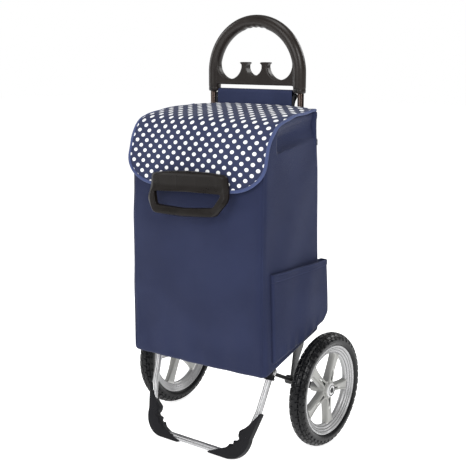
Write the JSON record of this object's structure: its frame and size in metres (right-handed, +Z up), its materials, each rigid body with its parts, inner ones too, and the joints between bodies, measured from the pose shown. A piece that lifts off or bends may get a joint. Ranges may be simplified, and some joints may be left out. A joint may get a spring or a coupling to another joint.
{
  "type": "folding shopping trolley",
  "caption": "Two-wheeled shopping trolley with a fold-away foot loop, arched push handle with hook bar, and a tall fabric bag with a hinged dotted lid and pockets.",
  "frame": {"origin": "on the floor, at the middle of the overall width and depth", "axes": "+Z up, the front of the bag faces -Y, +X is to the right of someone facing the front"},
  "size_m": [0.5352, 0.409, 1.072],
  "materials": {
    "aluminium": "bright, finely ribbed extrusion",
    "tube_metal": "bronze-grey satin anodised",
    "black_steel": "black powder coat",
    "bright_steel": "bright zinc plate",
    "black_plastic": "grained black moulding",
    "handle_plastic": "satin brown-black moulding",
    "rim_plastic": "silver-grey satin moulding",
    "cap_plastic": "glossy pale cap",
    "tyre_rubber": "block-tread rubber",
    "navy_fabric": "coated navy polyester",
    "dotted_fabric": "navy polyester with white dots",
    "webbing": "black woven webbing",
    "stiffener": "dark stiffener board"
  },
  "bodies": {
    "root": {"axle_bracket_left": "black_steel", "axle_bracket_right": "black_steel", "axle_collar_left": "black_plastic", "axle_collar_right": "black_plastic", "back_panel": "navy_fabric", "bag_body": "navy_fabric", "base_board": "stiffener", "brace_strut_left": "black_steel", "brace_strut_right": "black_steel", "foot_pivot_nut_left": "bright_steel", "foot_pivot_nut_right": "bright_steel", "foot_pivot_pin_left": "bright_steel", "foot_pivot_pin_right": "bright_steel", "handle": "handle_plastic", "handle_screw_left": "bright_steel", "handle_screw_right": "bright_steel", "hang_strap_left": "webbing", "hang_strap_right": "webbing", "hanger_rod": "black_steel", "hinge_plate_left": "black_steel", "hinge_plate_right": "black_steel", "rail_bolt_left": "bright_steel", "rail_bolt_right": "bright_steel", "rear_pocket": "navy_fabric", "rear_tube_left": "tube_metal", "rear_tube_right": "tube_metal", "shelf_crossbar_front": "aluminium", "shelf_crossbar_rear": "aluminium", "shelf_rail_left": "aluminium", "shelf_rail_right": "aluminium", "side_pocket_left": "navy_fabric", "side_pocket_right": "navy_fabric", "stub_axle_left": "bright_steel", "stub_axle_right": "bright_steel", "tube_bolt_left": "bright_steel", "tube_bolt_right": "bright_steel"},
    "foot": {"foot_loop": "aluminium", "foot_shoe_left": "black_plastic", "foot_shoe_right": "black_plastic", "foot_knuckle_left": "black_plastic", "foot_knuckle_right": "black_plastic"},
    "lid": {"lid_flap": "dotted_fabric", "grab_handle": "black_plastic", "handle_backing_plate": "stiffener", "handle_rivet_left": "bright_steel", "handle_rivet_right": "bright_steel"},
    "wheel_left": {"tyre_left": "tyre_rubber", "inner_tube_left": "tyre_rubber", "wheel_rim_left": "rim_plastic", "hub_bush_left": "bright_steel", "hub_cap_left": "cap_plastic"},
    "button_left": {"release_button_left": "black_plastic"},
    "wheel_right": {"tyre_right": "tyre_rubber", "inner_tube_right": "tyre_rubber", "wheel_rim_right": "rim_plastic", "hub_bush_right": "bright_steel", "hub_cap_right": "cap_plastic"},
    "button_right": {"release_button_right": "black_plastic"}
  },
  "joints": [
    {"name": "foot_fold", "type": "hinge", "parent": "root", "child": "foot", "pos_m": [0, -0.083, 0.215], "axis": [1, 0, 0], "range_deg": [0, 65]},
    {"name": "lid_open", "type": "hinge", "parent": "root", "child": "lid", "pos_m": [0, 0.08, 0.8475], "axis": [-1, 0, 0], "range_deg": [0, 80]},
    {"name": "wheel_left_spin", "type": "hinge", "parent": "root", "child": "wheel_left", "pos_m": [-0.246, 0.06, 0.145], "axis": [1, 0, 0], "continuous": true},
    {"name": "button_left_push", "type": "slide", "parent": "wheel_left", "child": "button_left", "axis": [1, 0, 0], "range_m": [0, 0.0025], "stiffness_N_per_m": 600, "springref_m": -0.001},
    {"name": "wheel_right_spin", "type": "hinge", "parent": "root", "child": "wheel_right", "pos_m": [0.246, 0.06, 0.145], "axis": [1, 0, 0], "continuous": true},
    {"name": "button_right_push", "type": "slide", "parent": "wheel_right", "child": "button_right", "axis": [-1, 0, 0], "range_m": [0, 0.0025], "stiffness_N_per_m": 600, "springref_m": -0.001}
  ]
}
